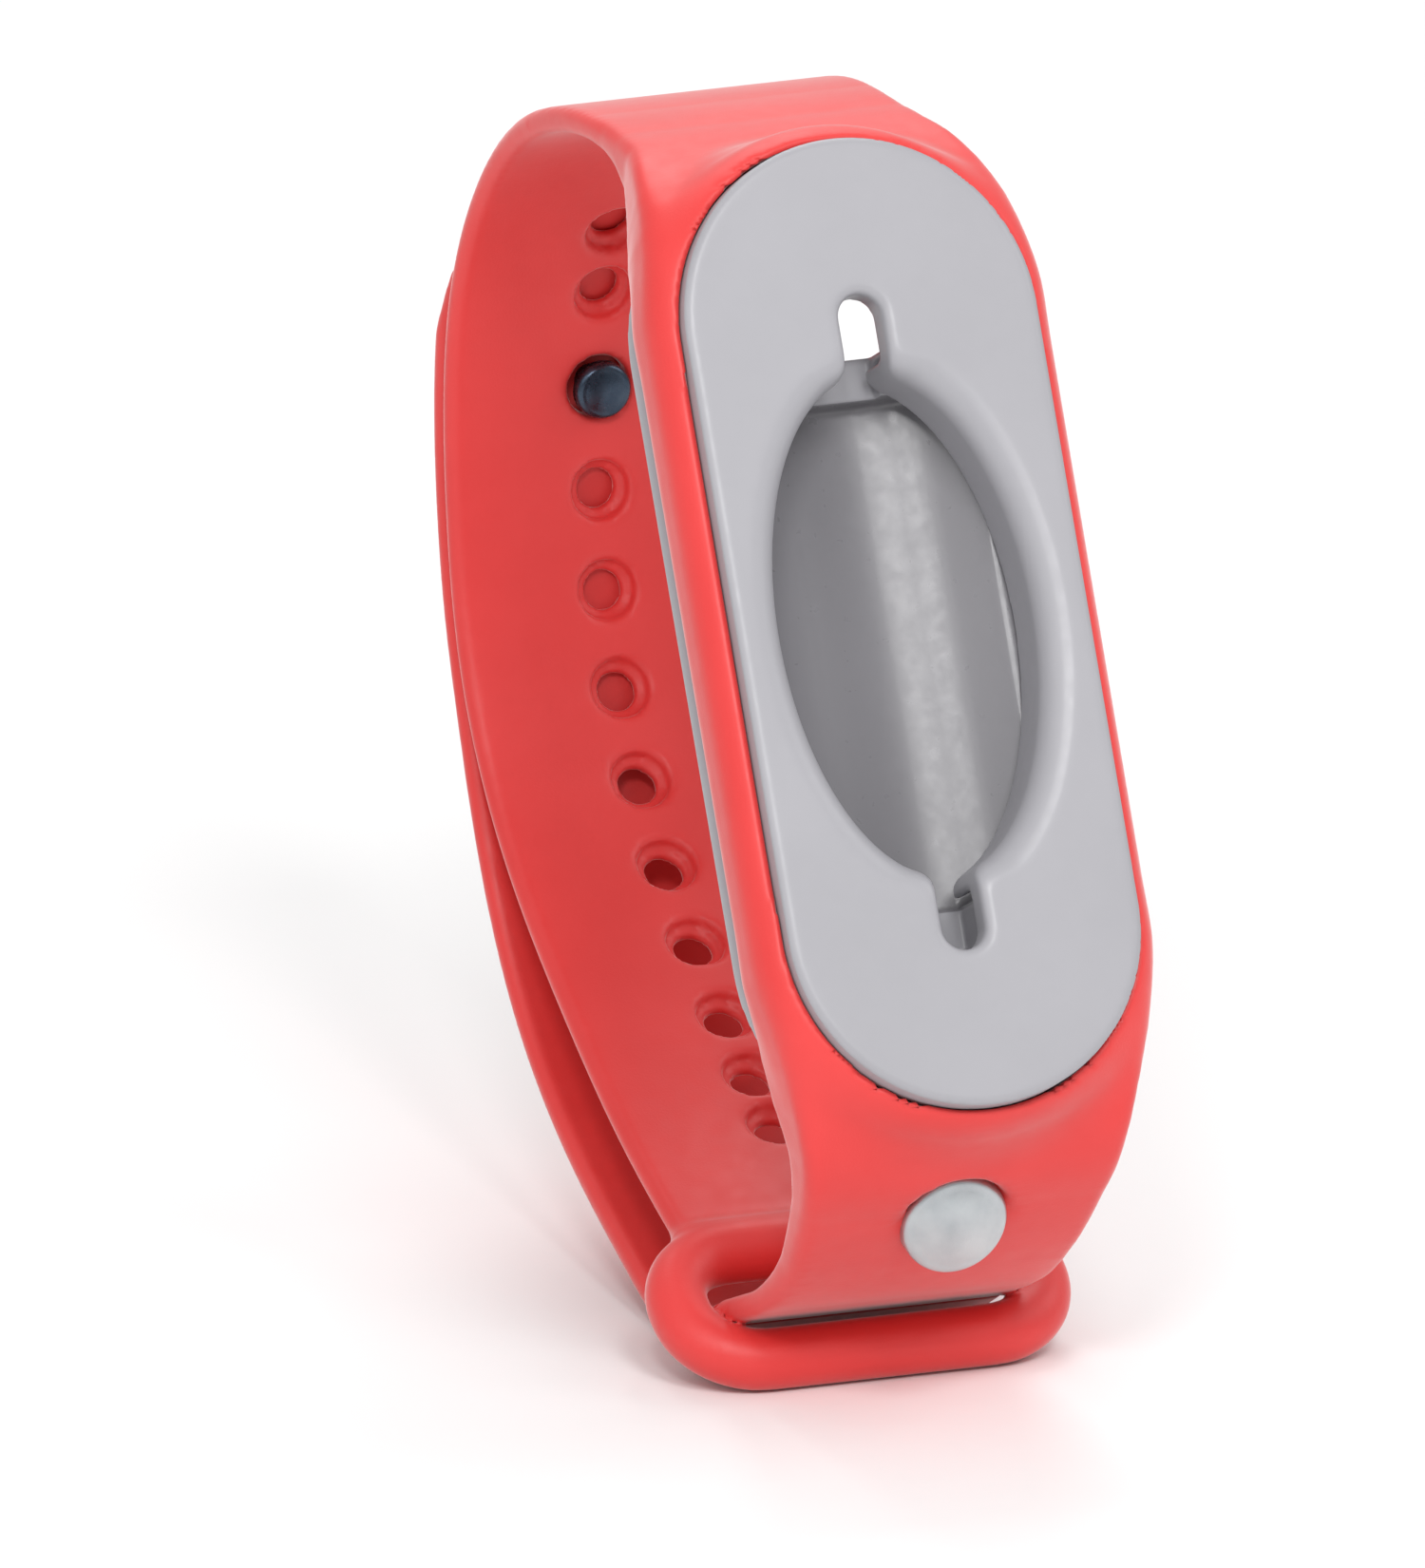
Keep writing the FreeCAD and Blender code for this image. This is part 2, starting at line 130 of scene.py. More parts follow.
# half widths and thicknesses, each at a distance along the line that starts inside the case
UPPER_WIDTHS = [
    (0.0, 7.5), (5.0, 8.9), (9.0, 9.1), (11.0, 8.8), (14.9, 7.8), (19.0, 7.5),
    (29.0, STRAP_HALF_WIDTH),
]
UPPER_THICKS = [(0.0, 4.6), (6.0, 4.6), (10.0, 4.5), (13.0, 3.6), (17.0, 1.9), (21.0, STRAP_THICK)]
LOWER_WIDTHS = [
    (0.0, 7.5), (5.0, 8.9), (9.0, 9.1), (11.0, 8.9), (14.0, 8.25), (17.3, 7.8), (21.8, 7.4),
    (27.0, 7.4), (40.0, STRAP_HALF_WIDTH),
]
LOWER_THICKS = [
    (0.0, 4.6), (6.0, 4.6), (10.0, 4.5), (13.3, 3.7), (16.8, 2.6), (20.8, 2.2), (26.8, STRAP_THICK),
]
# the tail's half widths: along the lower strap's own line, and back from its tip
TAIL_WIDTHS = [(17.0, 7.4), (30.0, STRAP_HALF_WIDTH)]
TIP_WIDTHS = [(9.0, STRAP_HALF_WIDTH), (6.0, 7.2), (3.0, 6.0), (1.2, 4.4), (0.0, 2.2)]
STRAP_EDGE = 0.8           # the largest rounding of a strap's edges
END_EDGE = 0.01            # and that of its ends, which are nearly sharp
SEAM = 22.0                # along the lower strap, inside the loop, where band and tail pieces meet
SEAM_GAP = 0.02
LOOP_TOP = (25.4, -25.3)
LOOP_BOTTOM = (21.5, -31.3)
LOOP_HALF_WIDTH = 9.1
LOOP_BAR_RADIUS = 1.5
LOOP_CORNER = 3.4

CASE_FILLET = 2.0          # where the straps leave the case
LOOP_FILLET = 1.2          # where the holed strap meets the loop
HOLE_EDGE = 0.15           # softness of a hole's edge
RIM_EDGE = 0.25            # and of its counterbore's
STUD_HOLE_EDGE = 0.2
SEAT_EDGE = 0.3
THROUGH = 4.0              # well past both faces of a strap

DISC_PLACE = (9.5, -27.1)
DISC_TILT = math.radians(40.0)
DISC_FACING = (-math.cos(DISC_TILT), -math.sin(DISC_TILT))
DISC_SURFACE = 1.25
DISC_RADIUS = 2.65
DISC_SUNK = 0.45           # how far its edge goes into its seat
SEAT_CLEAR = 0.15
SHANK_RADIUS = 0.9         # the shank that holds it in the strap
SHANK_END = -0.3

HEAD_RADIUS = 1.4          # the stud's heights are from the holed strap's middle, towards the wrist
HEAD_BASE = 0.775
SHAFT_RADIUS = 0.8
SHAFT_END = -1.3
CAP_RADIUS = 2.4

# spacing of the sample positions, in mm
BAND_CELL, PLATE_CELL, TRAY_CELL = ((0.22, 0.16, 0.22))
RELAX_TIMES = 2
RELAX_WEIGHT = 0.4


def to_world(points):
    """Upright millimetres to the row frame's metres."""
    p = np.asarray(points, float) * MM
    return ORIGIN + p[:, :1] * np.array([1.0, 0.0, 0.0]) + p[:, 1:2] * BACK + p[:, 2:] * UP


# ---- curves ----

class Line:
    """A smooth curve through (y, z) points: a natural cubic spline, sampled every STEP mm."""

    STEP = 0.1

    def __init__(self, points):
        knots = np.array(points, float)
        chord = np.r_[0.0, np.cumsum(np.hypot(*np.diff(knots, axis=0).T))]
        h = np.diff(chord)
        n = len(knots)
        matrix = np.eye(n)
        right = np.zeros((n, 2))
        for i in range(1, n - 1):
            matrix[i, i - 1:i + 2] = h[i - 1], 2 * (h[i - 1] + h[i]), h[i]
            slope = (knots[i + 1] - knots[i]) / h[i] - (knots[i] - knots[i - 1]) / h[i - 1]
            right[i] = 6 * slope
        bend = np.linalg.solve(matrix, right)
        t = np.linspace(0, chord[-1], 20 * int(chord[-1]))
        i = np.clip(np.searchsorted(chord, t) - 1, 0, n - 2)
        a = ((chord[i + 1] - t) / h[i])[:, None]
        b = 1 - a
        square = (h[i] ** 2)[:, None] / 6
        dense = a * knots[i] + b * knots[i + 1] + ((a**3 - a) * bend[i] + (b**3 - b) * bend[i + 1]) * square
        run = np.r_[0.0, np.cumsum(np.hypot(*np.diff(dense, axis=0).T))]
        self.length = run[-1]
        self.s = np.linspace(0, self.length, int(self.length / self.STEP) + 1)
        self.p = np.stack([np.interp(self.s, run, dense[:, k]) for k in (0, 1)], 1)
        tangent = np.gradient(self.p, self.s, axis=0)
        self.t = tangent / np.linalg.norm(tangent, axis=1)[:, None]
        self.n = np.stack([-self.t[:, 1], self.t[:, 0]], 1)

    def nearest(self, y, z):
        """Distance along the line and offset along its normal, for each point of the arrays."""
        points = np.stack([y.ravel(), z.ravel()], 1)
        index = np.empty(len(points), int)
        for i in range(0, len(points), 20000):
            part = points[i:i + 20000]
            gap = (part[:, :1] - self.p[:, 0]) ** 2 + (part[:, 1:] - self.p[:, 1]) ** 2
            index[i:i + 20000] = gap.argmin(1)
        off = points - self.p[index]
        along = self.s[index] + (off * self.t[index]).sum(1)
        return along.reshape(y.shape), (off * self.n[index]).sum(1).reshape(y.shape)

    def at(self, y, z):
        """The place nearest to one point, with its normal and its distance along the line."""
        i = ((self.p - (y, z)) ** 2).sum(1).argmin()
        return self.p[i], self.n[i], self.s[i]


def lower_line(upper):
    """The lower strap's line, which ends parallel to the upper strap it is snapped to."""
    first = upper.at(*TAIL_TIP)[2]
    last = upper.at(*SNAPPED_FROM)[2]
    snapped = []
    count = 5
    for i in range(count + 1):
        k = int(round((last + (first - last) * i / count) / upper.STEP))
        snapped.append(tuple(upper.p[k] + upper.n[k] * (STRAP_THICK + LAYER_GAP)))
    return Line(LOWER_LINE + snapped)


# ---- solids as signed distances, in mm ----

def table(pairs, s):
    return np.interp(s, [p[0] for p in pairs], [p[1] for p in pairs])


def rounded_box(q, r):
    """Signed distance from the distances q to each face pair, with edges rounded by r."""
    a, b = (side + r for side in q)
    outside = np.sqrt(np.maximum(a, 0) ** 2 + np.maximum(b, 0) ** 2)
    return outside + np.minimum(np.maximum(a, b), 0) - r


def join(a, b, k):
    """Union with a fillet of about k."""
    h = np.maximum(k - np.abs(a - b), 0) / k
    return np.minimum(a, b) - h * h * k / 4


def cut(a, b, k):
    """a without b, with the edges rounded by about k."""
    return -join(-a, b, k)


def stadium(x, z, half_width, half_length):
    straight = half_length - half_width
    return np.hypot(x, np.maximum(np.abs(z) - straight, 0)) - half_width


def slab(y, front, rear):
    return np.abs(y - (front + rear) / 2) - (rear - front) / 2


class Grid:
    """Sample positions; a field on it is meshed by surface nets."""

    def __init__(self, xs, ys, zs):
        self.axes = [np.asarray(a, float) for a in (xs, ys, zs)]
        self.x, self.y, self.z = np.meshgrid(*self.axes, indexing="ij", sparse=True)

    def mesh(self, field):
        inside = field < 0
        cells = np.zeros(tuple(n - 1 for n in field.shape), np.int8)
        corners = [(i, j, k) for i in (0, 1) for j in (0, 1) for k in (0, 1)]
        for i, j, k in corners:
            cells += inside[i:i + cells.shape[0], j:j + cells.shape[1], k:k + cells.shape[2]]
        active = np.argwhere((cells > 0) & (cells < 8))
        number = np.full(cells.shape, -1, np.int32)
        number[tuple(active.T)] = np.arange(len(active))
        total = np.zeros((len(active), 3))
        count = np.zeros(len(active))
        for axis in range(3):
            for side in [c for c in corners if c[axis] == 0]:
                low = active + side
                high = low.copy()
                high[:, axis] += 1
                a = field[tuple(low.T)]
                b = field[tuple(high.T)]
                crossed = (a < 0) != (b < 0)
                share = np.where(crossed, a / np.where(crossed, a - b, 1), 0)
                for c in range(3):
                    p = self.axes[c][low[:, c]]
                    q = self.axes[c][high[:, c]]
                    total[:, c] += np.where(crossed, p + (q - p) * share, 0)
                count += crossed
        points = total / count[:, None]
        quads = []
        for axis in range(3):
            u, v = (axis + 1) % 3, (axis + 2) % 3
            ahead = [slice(None)] * 3
            ahead[axis] = slice(1, None)
            behind = [slice(None)] * 3
            behind[axis] = slice(None, -1)
            change = inside[tuple(behind)] != inside[tuple(ahead)]
            edge = np.argwhere(change)
            edge = edge[(edge[:, u] > 0) & (edge[:, v] > 0)]
            edge = edge[(edge[:, u] < field.shape[u] - 1) & (edge[:, v] < field.shape[v] - 1)]
            ring = []
            for du, dv in ((1, 1), (0, 1), (0, 0), (1, 0)):
                cell = edge.copy()
                cell[:, u] -= du
                cell[:, v] -= dv
                ring.append(number[tuple(cell.T)])
            ring = np.stack(ring, 1)
            leaving = inside[tuple(edge.T)]
            ring[~leaving] = ring[~leaving][:, ::-1]
            quads.append(ring)
        return points, np.concatenate(quads)


def steps(*stops):
    """Positions from (end, spacing) stops, starting at the first stop's end."""
    values = [stops[0]]
    for end, spacing in stops[1:]:
        n = max(1, int(round((end - values[-1]) / spacing)))
        values += list(values[-1] + (end - values[-1]) * np.arange(1, n + 1) / n)
    return np.array(values)


def mirrored(half):
    """Positions on both sides of zero, from positions above zero."""
    return np.r_[-half[::-1], half]


def relax(points, quads):
    """Evens out a mesh: each point moves towards the middle of its neighbours."""
    pairs = np.concatenate([quads[:, [i, (i + 1) % 4]] for i in range(4)])
    pairs = np.concatenate([pairs, pairs[:, ::-1]])
    count = np.bincount(pairs[:, 0], minlength=len(points))[:, None]
    for _ in range(RELAX_TIMES):
        middle = np.stack(
            [np.bincount(pairs[:, 0], points[pairs[:, 1], c], len(points)) for c in range(3)], 1
        )
        points = points + (middle / count - points) * RELAX_WEIGHT
    return points


def true_rim(points, half_width, half_length, reach, y_low, y_high):
    """Moves points that lie within reach of a stadium's outline onto it, so that the rim is clean."""
    x, y, z = points.T
    off = stadium(x, z, half_width, half_length)
    straight = half_length - half_width
    out = np.stack([x, 0 * x, z - np.clip(z, -straight, straight)], 1)
    out = out / np.maximum(np.linalg.norm(out, axis=1), 1e-6)[:, None]
    near = (np.abs(off) < reach) & (y > y_low) & (y < y_high)
    return points - out * (off * near)[:, None]


def mesh_object(name, points, faces, material):
    mesh = bpy.data.meshes.new(name)
    mesh.from_pydata(to_world(points).tolist(), [], [list(map(int, f)) for f in faces])
    mesh.validate()
    mesh.update()
    mesh.polygons.foreach_set("use_smooth", [True] * len(mesh.polygons))
    piece = bpy.data.objects.new(name, mesh)
    bpy.context.scene.collection.objects.link(piece)
    mesh.materials.append(material)
    return piece


# ---- materials ----

def new_material(name):
    material = bpy.data.materials.new(name)
    material.use_nodes = True
    nodes = material.node_tree.nodes
    return material, nodes, material.node_tree.links, nodes["Principled BSDF"]


def grain(nodes, links, shader, scale, height, detail=3.0):
    """Fine moulded grain as bump, from noise in object space."""
    where = nodes.new("ShaderNodeTexCoord")
    noise = nodes.new("ShaderNodeTexNoise")
    noise.inputs["Scale"].default_value = scale
    noise.inputs["Detail"].default_value = detail
    links.new(where.outputs["Object"], noise.inputs["Vector"])
    bump = nodes.new("ShaderNodeBump")
    bump.inputs["Strength"].default_value = 0.35
    bump.inputs["Distance"].default_value = height
    links.new(noise.outputs["Fac"], bump.inputs["Height"])
    links.new(bump.outputs["Normal"], shader.inputs["Normal"])
    return where


def vary(nodes, links, where, socket, low, high, scale):
    """Slow variation of a colour or a value between low and high."""
    noise = nodes.new("ShaderNodeTexNoise")
    noise.inputs["Scale"].default_value = scale
    noise.inputs["Detail"].default_value = 4.0
    links.new(where.outputs["Object"], noise.inputs["Vector"])
    ramp = nodes.new("ShaderNodeValToRGB")
    ramp.color_ramp.elements[0].position = 0.3
    ramp.color_ramp.elements[1].position = 0.7
    ramp.color_ramp.elements[0].color = low
    ramp.color_ramp.elements[1].color = high
    links.new(noise.outputs["Fac"], ramp.inputs["Fac"])
    links.new(ramp.outputs["Color"], socket)


def grey(value):
    return (value, value, value, 1.0)


def silicone_material():
    material, nodes, links, shader = new_material("coral_silicone")
    where = grain(nodes, links, shader, 9000.0, 0.00002)
    deep, pale = (0.67, 0.036, 0.034, 1), (0.71, 0.043, 0.041, 1)
    vary(nodes, links, where, shader.inputs["Base Color"], deep, pale, 160.0)
    vary(nodes, links, where, shader.inputs["Roughness"], grey(0.44), grey(0.52), 900.0)
    shader.inputs["Subsurface Weight"].default_value = 0.06
    shader.inputs["Subsurface Radius"].default_value = (1.0, 0.25, 0.2)
    shader.inputs["Subsurface Scale"].default_value = 0.0012
    shader.inputs["Sheen Weight"].default_value = 0.5
    shader.inputs["Sheen Roughness"].default_value = 0.3
    return material


def plastic_material(name, base, smooth, rough):
    material, nodes, links, shader = new_material(name)
    where = grain(nodes, links, shader, 5000.0, 0.000004)
    pale = tuple(1.06 * c for c in base[:3]) + (1,)
    vary(nodes, links, where, shader.inputs["Base Color"], base, pale, 120.0)
    vary(nodes, links, where, shader.inputs["Roughness"], grey(smooth), grey(rough), 1500.0)
    return material


def satin_metal_material():
    material, nodes, links, shader = new_material("blasted_satin_metal")
    where = grain(nodes, links, shader, 16000.0, 0.00002)
    deep, pale = (0.42, 0.45, 0.47, 1), (0.55, 0.58, 0.59, 1)
    vary(nodes, links, where, shader.inputs["Base Color"], deep, pale, 500.0)
    vary(nodes, links, where, shader.inputs["Roughness"], grey(0.30), grey(0.42), 2500.0)
    shader.inputs["Metallic"].default_value = 0.85
    return material


def dark_metal_material():
    material, nodes, links, shader = new_material("dark_plated_steel")
    where = grain(nodes, links, shader, 9000.0, 0.00001)
    deep, pale = (0.035, 0.05, 0.075, 1), (0.06, 0.08, 0.11, 1)
    vary(nodes, links, where, shader.inputs["Base Color"], deep, pale, 900.0)
    vary(nodes, links, where, shader.inputs["Roughness"], grey(0.22), grey(0.34), 2500.0)
    shader.inputs["Metallic"].default_value = 0.9
    return material


def magnet_material():
    material, nodes, links, shader = new_material("nickel_plate")
    where = grain(nodes, links, shader, 5000.0, 0.00001)
    deep, pale = (0.28, 0.28, 0.30, 1), (0.36, 0.36, 0.38, 1)
    vary(nodes, links, where, shader.inputs["Base Color"], deep, pale, 400.0)
    vary(nodes, links, where, shader.inputs["Roughness"], grey(0.25), grey(0.4), 1500.0)
    shader.inputs["Metallic"].default_value = 1.0
    return material


def floor_material():
    material, nodes, links, shader = new_material("pale_floor")
    where = grain(nodes, links, shader, 400.0, 0.0001)
    vary(nodes, links, where, shader.inputs["Base Color"], grey(0.82), grey(0.84), 3.0)
    shader.inputs["Roughness"].default_value = 0.9
    return material


# ---- the soft band ----

def strap_field(grid, line, start, end, widths, thicks):
    """Signed distance of a strap with rounded edges between two distances along its line."""
    y, z = np.broadcast_arrays(grid.y[0], grid.z[0])
    s, v = line.nearest(y, z)
    half_width = table(widths, s)
    thick = table(thicks, s)
    ends = np.maximum(start - s, s - end)
    r = np.minimum(0.45 * thick, STRAP_EDGE)
    side = np.abs(grid.x) - half_width
    face = np.broadcast_to(np.abs(v) - thick / 2, side.shape)
    body = rounded_box([side, face], r)
    return rounded_box([body, np.broadcast_to(ends, side.shape)], END_EDGE)


def hole_field(grid, place, normal, radius, low, high):
    """A round hole along a strap's normal, between two heights above its middle line."""
    up = (grid.y - place[0]) * normal[0] + (grid.z - place[1]) * normal[1]
    across = (grid.y - place[0]) * normal[1] - (grid.z - place[1]) * normal[0]
    return np.maximum(np.hypot(grid.x, across) - radius, np.maximum(low - up, up - high))


def frame_field(grid):
    outline = stadium(grid.x, grid.z, FRAME_HALF_WIDTH, FRAME_HALF_LENGTH)
    depth = slab(grid.y, FRAME_FRONT, FRAME_REAR)
    return rounded_box([outline, depth], FRAME_BEAD)


def loop_field(grid):
    """A round bar bent into a rounded rectangle, in a plane that holds the x axis."""
    top = np.array(LOOP_TOP)
    down = np.array(LOOP_BOTTOM) - top
    height = np.hypot(*down)
    down = down / height
    v = (grid.y - top[0]) * down[0] + (grid.z - top[1]) * down[1] - height / 2
    w = (grid.y - top[0]) * down[1] - (grid.z - top[1]) * down[0]
    outline = rounded_box([np.abs(grid.x) - LOOP_HALF_WIDTH, np.abs(v) - height / 2], LOOP_CORNER)
    return np.hypot(outline, w) - LOOP_BAR_RADIUS


def opening_field(grid):
    """Where the insert sits, and the way its flange takes behind the frame."""
    hole = stadium(grid.x, grid.z, PLATE_HALF_WIDTH + OPENING_CLEAR, PLATE_HALF_LENGTH + OPENING_CLEAR)
    hole = np.maximum(hole, slab(grid.y, -5.0, OPENING_REAR))
    way = stadium(grid.x, grid.z, PLATE_HALF_WIDTH + FLANGE_CLEAR, PLATE_HALF_LENGTH + FLANGE_CLEAR)
    way = np.maximum(way, slab(grid.y, FRAME_REAR, WAY_REAR))
    return np.minimum(hole, way)


def band_piece(upper, lower, material):
    """The case, both straps and the loop as one moulding, as far as the seam inside the loop."""
    # fine steps across the holes and the edges, coarse ones between them
    xs = mirrored(steps(0.07, (1.8, 0.16), (6.6, 0.5), (11.4, BAND_CELL)))
    grid = Grid(xs, np.arange(-0.6, 46.2, BAND_CELL), np.arange(-34.2, 31.6, BAND_CELL))
    line = Line(UPPER_SHOULDER + UPPER_LINE[1:])
    holed = strap_field(grid, line, 0.0, line.length, UPPER_WIDTHS, UPPER_THICKS)
    line = Line(LOWER_SHOULDER + LOWER_LINE[1:])
    seam = line.at(*lower.p[int(SEAM / lower.STEP)])[2]
    front = strap_field(grid, line, 0.0, seam, LOWER_WIDTHS, LOWER_THICKS)
    case = frame_field(grid)
    body = np.minimum(join(holed, case, CASE_FILLET), join(front, case, CASE_FILLET))
    body = np.minimum(body, join(holed, loop_field(grid), LOOP_FILLET))
    body = cut(body, opening_field(grid), HOLE_EDGE)
    place, _, _ = lower.at(*DISC_PLACE)
    seat = hole_field(grid, place, DISC_FACING, DISC_RADIUS + SEAT_CLEAR, DISC_SURFACE, 6.0)
    body = cut(body, seat, SEAT_EDGE)
    shelf = COUNTERBORE_DEPTH - STRAP_THICK / 2
    for i, point in enumerate(HOLE_LINE):
        place, normal, _ = upper.at(*point)
        if i == STUD_HOLE:
            bore = hole_field(grid, place, normal, STUD_BORE_RADIUS, -THROUGH, THROUGH)
            body = cut(body, bore, STUD_HOLE_EDGE)
            continue
        body = cut(body, hole_field(grid, place, normal, HOLE_RADIUS, -THROUGH, THROUGH), HOLE_EDGE)
        bore = hole_field(grid, place, normal, COUNTERBORE_RADIUS, -THROUGH, shelf)
        body = cut(body, bore, RIM_EDGE)
    points, quads = grid.mesh(body)
    points = relax(points, quads)
    opening = (PLATE_HALF_WIDTH + OPENING_CLEAR, PLATE_HALF_LENGTH + OPENING_CLEAR)
    points = true_rim(points, *opening, 0.14, -1.0, FRAME_REAR + 1.0)
    piece = mesh_object("silicone_band", points, quads, material)
    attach(piece, "band")
    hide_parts("case_frame", "upper_strap", "keeper_loop")


def tail_piece(lower, material):
    """The strap from the seam round the bend to its tip."""
    end = lower.length
    widths = TAIL_WIDTHS + [(end - back, half) for back, half in TIP_WIDTHS]
    xs = mirrored(steps(0.1, (2.6, 0.2), (6.6, 0.5), (8.4, BAND_CELL)))
    grid = Grid(xs, np.arange(20.0, 46.4, BAND_CELL), np.arange(-31.0, 28.0, BAND_CELL))
    body = strap_field(grid, lower, SEAM + SEAM_GAP, end, widths, [(0.0, STRAP_THICK)])
    points, quads = grid.mesh(body)
    points = relax(points, quads)
    piece = mesh_object("silicone_tail", points, quads, material)
    hinge = next(j for j in frame["joints"] if j["name"] == "tail_peel")
    pivot = (np.array(hinge["pos_m"]) - ORIGIN) / MM
    place, _, s = lower.at(pivot @ BACK, pivot @ UP)
    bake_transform(piece)
    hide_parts("lower_strap", "tail_tip")


# ---- the hard insert ----

def oval(x, z, half_width, half_length):
    """Nearly the signed distance of an ellipse seen from the front."""
    scale = np.sqrt((x / half_width) ** 2 + (z / half_length) ** 2)
    slope = np.sqrt((x / half_width**2) ** 2 + (z / half_length**2) ** 2)
    return (scale - 1) * scale / np.maximum(slope, 1e-6)


def insert_grid(cell, depth_cell, margin, low, high):
    """Sample positions round the insert, from one depth to another."""
    xs = mirrored(np.arange(cell / 2, PLATE_HALF_WIDTH + margin, cell))
    zs = mirrored(np.arange(cell / 2, PLATE_HALF_LENGTH + margin, cell))
    return Grid(xs, np.arange(low, high, depth_cell), zs)


def plate_piece(material):
    """The front plate with its mouth, whose lip rolls inwards, and the collar behind it."""
    grid = insert_grid(PLATE_CELL, 0.8 * PLATE_CELL, 0.5, -0.5, COLLAR_DEPTH + 0.5)
    outline = stadium(grid.x, grid.z, PLATE_HALF_WIDTH, PLATE_HALF_LENGTH)
    plate = rounded_box([outline, slab(grid.y, 0.0, PLATE_THICK + 1.0)], PLATE_ROUND)
    plate = np.maximum(plate, grid.y - PLATE_THICK)
    lens = oval(grid.x, grid.z, MOUTH_HALF_WIDTH, MOUTH_HALF_LENGTH)
    slots = stadium(grid.x, grid.z, SLOT_HALF_WIDTH, SLOT_TIP)
    collar = np.maximum(lens - COLLAR_WALL, slab(grid.y, 0.5, COLLAR_DEPTH))
    body = join(plate, collar, COLLAR_FILLET)
    mouth = join(lens, slots, MOUTH_FILLET)
    share = np.clip((slots - lens) / ROLL_CHANGE + 0.5, 0, 1)
    share = share * share * (3 - 2 * share)
    roll = SLOT_ROUND + (LIP_ROUND - SLOT_ROUND) * share
    body = np.maximum(body, rounded_box([-mouth, -grid.y], roll))
    points, quads = grid.mesh(body)
    points = relax(points, quads)
    points = true_rim(points, PLATE_HALF_WIDTH, PLATE_HALF_LENGTH, 0.05, 0.2, PLATE_THICK + 0.2)
    piece = mesh_object("tray_face", points, quads, material)
    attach(piece, "insert")
    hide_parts("insert_front_plate")


def tray_field(grid):
    """The tray's body and rear flange, with its hollow, slots and window."""
    x, y, z = grid.x, grid.y, grid.z
    body = stadium(x, z, PLATE_HALF_WIDTH - 0.1, PLATE_HALF_LENGTH - 0.1)
    body = np.maximum(body, slab(y, PLATE_THICK, BODY_REAR))
    flange = stadium(x, z, PLATE_HALF_WIDTH + FLANGE_OVER, PLATE_HALF_LENGTH + FLANGE_OVER)
    flange = rounded_box([flange, slab(y, *FLANGE)], FLANGE_ROUND)
    floor = np.hypot(x, y - TROUGH_DEEPEST + TROUGH_RADIUS) - TROUGH_RADIUS
    floor = np.maximum(floor, slab(z, *TROUGH_ENDS))
    shallow = y - COLLAR_DEPTH - 0.1
    hollow = np.maximum(oval(x, z, *POCKET), np.minimum(floor, shallow))
    slots = stadium(x, z, SLOT_HALF_WIDTH + SLOT_SINK, SLOT_TIP + SLOT_SINK)
    slots = np.maximum(slots, y - LEDGE_DEPTH)
    low, high, half = WINDOW
    window = rounded_box([np.abs(x) - half, slab(z, low, high)], WINDOW_ROUND) + 0 * y
    return cut(np.minimum(body, flange), np.minimum(np.minimum(hollow, slots), window), HOLE_EDGE)


def tray_piece(light, dark):
    """The insert's rear half; the faces of its hollow get a darker copy of the same plastic, which is
    painted shade.
    """
    margin = FLANGE_OVER + 0.5
    grid = insert_grid(TRAY_CELL, 0.9 * TRAY_CELL, margin, PLATE_THICK - 0.5, FLANGE[1] + 0.5)
    points, quads = grid.mesh(tray_field(grid))
    points = relax(points, quads)
    piece = mesh_object("tray_body", points, quads, light)
    # faces of the hollow between the trough's ends get the darker copy: painted shade inside the hollow,
    # not a different plastic
    piece.data.materials.append(dark)
    for face in piece.data.polygons:
        x, y, z = points[list(face.vertices)].mean(0)
        inside = oval(x, z, *POCKET) < 0.1 and y > PLATE_THICK + 0.1
        face.material_index = int(inside and y < 6.9 and TROUGH_ENDS[0] - 0.1 < z < TROUGH_ENDS[1] + 0.1)
    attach(piece, "insert")
    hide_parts("insert_trough")


# ---- round metal pieces ----

def turned(name, profile, place, facing, material, body, node, segments=96):
    """A turned piece from (radius, height) points, standing at a (y, z) place along a facing direction."""
    facing = np.array([0.0, *facing])
    side = np.array([1.0, 0.0, 0.0])
    other = np.cross(facing, side)
    centre = np.array([0.0, *place])
    points = []
    for radius, height in profile:
        for i in range(segments):
            angle = 2 * math.pi * i / segments
            across = side * math.cos(angle) + other * math.sin(angle)
            points.append(centre + facing * height + across * radius)
    faces = []
    rings = len(profile)
    for r in range(rings - 1):
        for i in range(segments):
            a = r * segments + i
            b = r * segments + (i + 1) % segments
            faces.append((a, b, b + segments, a + segments))
    for r, flip in ((0, True), (rings - 1, False)):
        tip = len(points)
        points.append(centre + facing * profile[r][1])
        for i in range(segments):
            a = r * segments + i
            b = r * segments + (i + 1) % segments
            faces.append((b, a, tip) if flip else (a, b, tip))
    piece = mesh_object(name, np.array(points), faces, material)
    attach(piece, body)
    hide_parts(node)


def domed(radius, base, edge, crown, rounding):
    """Profile of a disc: a straight side, a rounded edge and a slightly domed top."""
    profile = [(radius, base)]
    for i in range(9):
        angle = math.pi / 2 * i / 8
        profile.append((radius - rounding * (1 - math.cos(angle)), edge + rounding * math.sin(angle)))
    flat = radius - rounding
    for i in range(1, 12):
        share = 1 - i / 12
        profile.append((flat * share, edge + rounding + crown * (1 - share * share)))
    return profile


